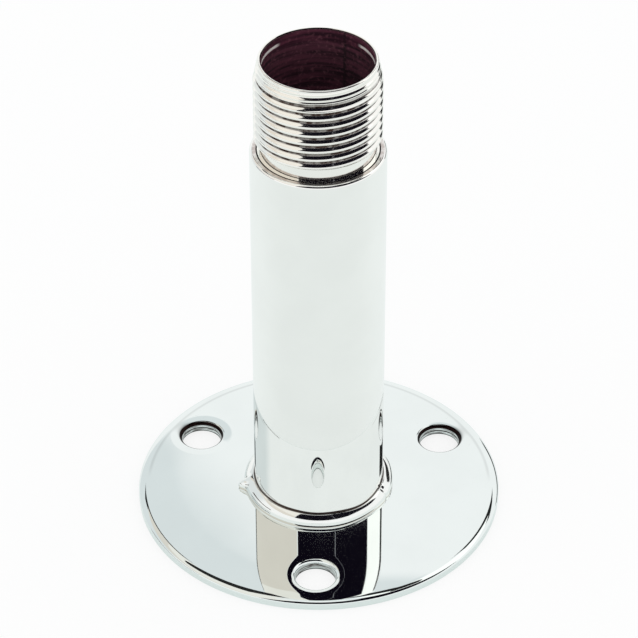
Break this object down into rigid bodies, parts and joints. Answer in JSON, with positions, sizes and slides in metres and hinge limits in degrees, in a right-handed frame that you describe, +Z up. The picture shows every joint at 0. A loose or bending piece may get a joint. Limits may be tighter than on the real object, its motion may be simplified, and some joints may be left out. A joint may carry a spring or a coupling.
{
  "type": "screw-top pedestal base",
  "caption": "Round screw-down flange with a welded upright tube and a hollow threaded nipple at its top, for a flag pole, light or mast fitting.",
  "frame": {"origin": "on the tube's axis, at the flange's underside", "axes": "+Z up the tube towards the threaded end; one screw hole lies on -Y"},
  "size_m": [0.075, 0.075, 0.1063],
  "materials": {
    "flange_steel": "mirror-polished stainless steel",
    "tube_steel": "mirror-polished stainless steel",
    "weld_steel": "polished stainless weld bead",
    "nipple_steel": "machined stainless steel, polished over the crests"
  },
  "bodies": {
    "root": {"base_flange": "flange_steel", "pedestal_tube": "tube_steel", "base_weld": "weld_steel", "threaded_nipple": "nipple_steel"}
  },
  "joints": []
}
